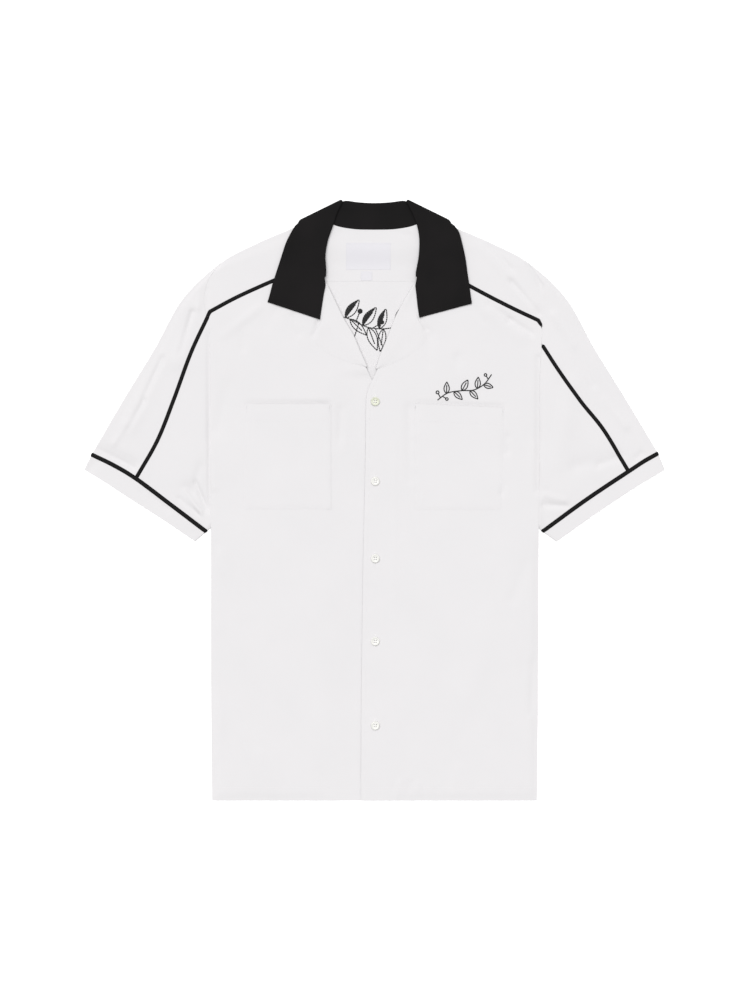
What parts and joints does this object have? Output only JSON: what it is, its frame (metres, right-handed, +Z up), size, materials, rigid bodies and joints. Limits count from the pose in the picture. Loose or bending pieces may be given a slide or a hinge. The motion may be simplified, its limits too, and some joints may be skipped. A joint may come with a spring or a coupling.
{
  "type": "bowling shirt",
  "caption": "Short-sleeved camp-collar bowling shirt laid flat and buttoned, white with a black collar, black corded piping and chest pockets.",
  "frame": {"origin": "under the middle of the shirt's bounding box, on the surface it lies on", "axes": "+Z up from the surface towards the buttoned front, +Y from the hem to the collar, +X to the wearer's left"},
  "size_m": [0.7558, 0.7811, 0.0072],
  "materials": {
    "shirting": "matt white woven shirting with a slight sheen",
    "collar_cloth": "matt black woven cloth",
    "piping_cloth": "black bias cloth over cord",
    "button_shell": "pearly imitation shell",
    "label_satin": "blank white woven satin"
  },
  "bodies": {
    "root": {"back": "shirting", "yoke": "shirting", "front_right": "shirting", "front_left": "shirting", "facing_right": "shirting", "facing_left": "shirting", "pocket_right": "shirting", "pocket_left": "shirting", "collar": "collar_cloth", "sleeve_top_right": "shirting", "sleeve_top_left": "shirting", "sleeve_under_right": "shirting", "sleeve_under_left": "shirting", "cuff_right": "shirting", "cuff_left": "shirting", "piping_shoulder_right": "piping_cloth", "piping_shoulder_left": "piping_cloth", "piping_sleeve_right": "piping_cloth", "piping_sleeve_left": "piping_cloth", "piping_cuff_right": "piping_cloth", "piping_cuff_left": "piping_cloth", "button_1": "button_shell", "button_2": "button_shell", "button_3": "button_shell", "button_4": "button_shell", "button_5": "button_shell", "label": "label_satin", "size_tab": "label_satin"}
  },
  "joints": []
}
